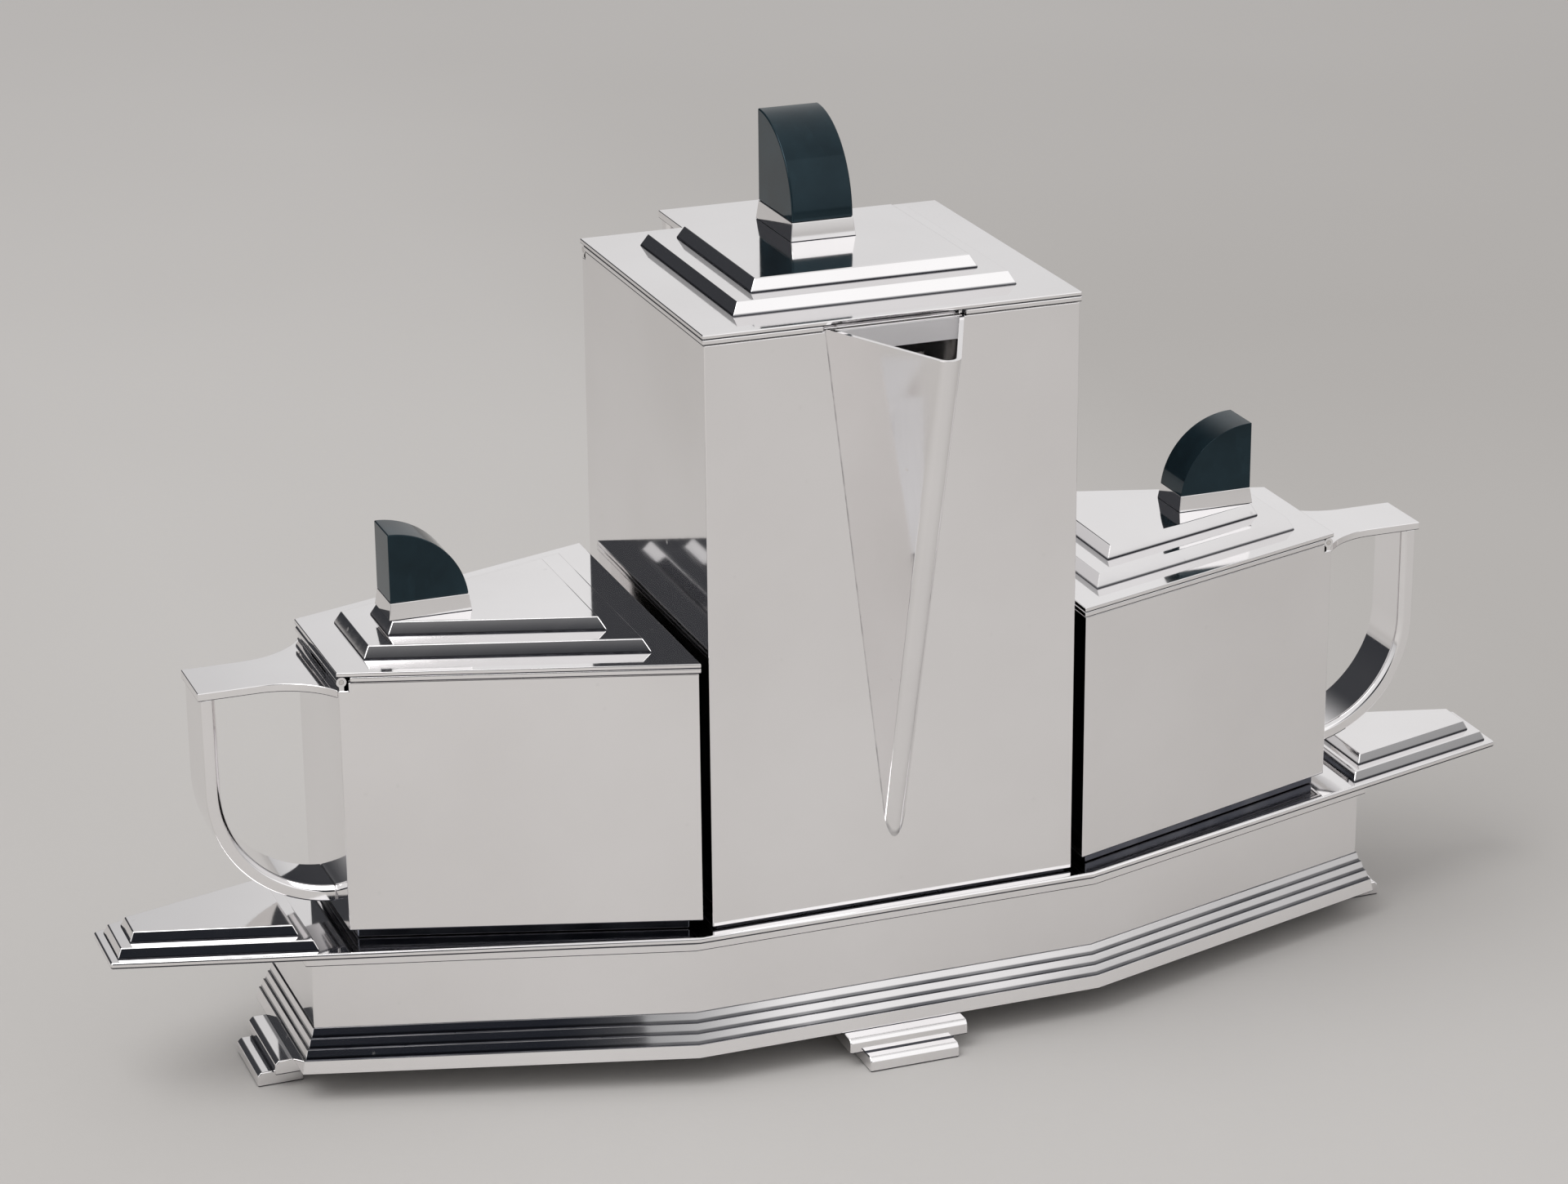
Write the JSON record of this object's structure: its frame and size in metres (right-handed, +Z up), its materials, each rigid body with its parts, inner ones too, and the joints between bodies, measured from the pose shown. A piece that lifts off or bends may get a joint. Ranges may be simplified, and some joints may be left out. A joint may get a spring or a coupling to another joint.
{
  "type": "tea set on stand",
  "caption": "Art Deco silver tea set: a square pot with a V spout between tapering lidded vessels with strap handles, on a boat-shaped stepped stand.",
  "frame": {"origin": "on the table under the middle of the set, midway between the two wing tips and between the spout's nose and the back handle", "axes": "+X along the stand to the right vessel, +Y from the spout to the back handle, +Z up"},
  "size_m": [0.392, 0.1668, 0.233],
  "materials": {
    "polished_silver": "mirror-polished silver sheet",
    "hard_silver": "drawn silver alloy wire",
    "dark_knob": "polished dark blue-green resin"
  },
  "bodies": {
    "stand": {"stand_wall": "polished_silver", "base_moulding": "polished_silver", "stand_cornice": "polished_silver", "stand_deck": "polished_silver", "left_pad_lower": "polished_silver", "left_pad_upper": "polished_silver", "right_pad_lower": "polished_silver", "right_pad_upper": "polished_silver", "left_foot": "polished_silver", "right_foot": "polished_silver", "front_foot": "polished_silver", "back_foot": "polished_silver"},
    "pot": {"pot_body": "polished_silver", "pot_base": "polished_silver", "pot_handle_plate": "polished_silver", "pot_handle_strap": "polished_silver", "pot_hinge_knuckles": "polished_silver", "pot_hinge_pin": "hard_silver", "pot_spout": "polished_silver", "pot_strainer": "polished_silver"},
    "pot_lid": {"pot_lid_plate": "polished_silver", "pot_lid_frame": "polished_silver", "pot_lid_lower_tier": "polished_silver", "pot_lid_upper_tier": "polished_silver", "pot_lid_knuckles": "polished_silver", "pot_knob_mount": "polished_silver", "pot_knob": "dark_knob", "pot_knob_screw": "hard_silver"},
    "left_vessel": {"left_body": "polished_silver", "left_base": "polished_silver", "left_handle_plate": "polished_silver", "left_handle_strap": "polished_silver", "left_hinge_knuckles": "polished_silver", "left_hinge_pin": "hard_silver"},
    "left_lid": {"left_lid_plate": "polished_silver", "left_lid_frame": "polished_silver", "left_lid_lower_tier": "polished_silver", "left_lid_upper_tier": "polished_silver", "left_lid_knuckles": "polished_silver", "left_knob_mount": "polished_silver", "left_knob": "dark_knob", "left_knob_screw": "hard_silver"},
    "right_vessel": {"right_body": "polished_silver", "right_base": "polished_silver", "right_handle_plate": "polished_silver", "right_handle_strap": "polished_silver", "right_hinge_knuckles": "polished_silver", "right_hinge_pin": "hard_silver"},
    "right_lid": {"right_lid_plate": "polished_silver", "right_lid_frame": "polished_silver", "right_lid_lower_tier": "polished_silver", "right_lid_upper_tier": "polished_silver", "right_lid_knuckles": "polished_silver", "right_knob_mount": "polished_silver", "right_knob": "dark_knob", "right_knob_screw": "hard_silver"}
  },
  "joints": [
    {"name": "pot_lift", "type": "slide", "parent": "stand", "child": "pot", "axis": [0, 0, 1], "range_m": [0, 0.11]},
    {"name": "left_lift", "type": "slide", "parent": "stand", "child": "left_vessel", "axis": [0, 0, 1], "range_m": [0, 0.2]},
    {"name": "right_lift", "type": "slide", "parent": "stand", "child": "right_vessel", "axis": [0, 0, 1], "range_m": [0, 0.2]},
    {"name": "pot_lid_hinge", "type": "hinge", "parent": "pot", "child": "pot_lid", "pos_m": [0, 0.046, 0.19465], "axis": [-1, 0, 0], "range_deg": [0, 100]},
    {"name": "left_lid_hinge", "type": "hinge", "parent": "left_vessel", "child": "left_lid", "pos_m": [-0.1361, 0, 0.11075], "axis": [0, -1, 0], "range_deg": [0, 100]},
    {"name": "right_lid_hinge", "type": "hinge", "parent": "right_vessel", "child": "right_lid", "pos_m": [0.1361, 0, 0.11075], "axis": [0, 1, 0], "range_deg": [0, 100]}
  ]
}
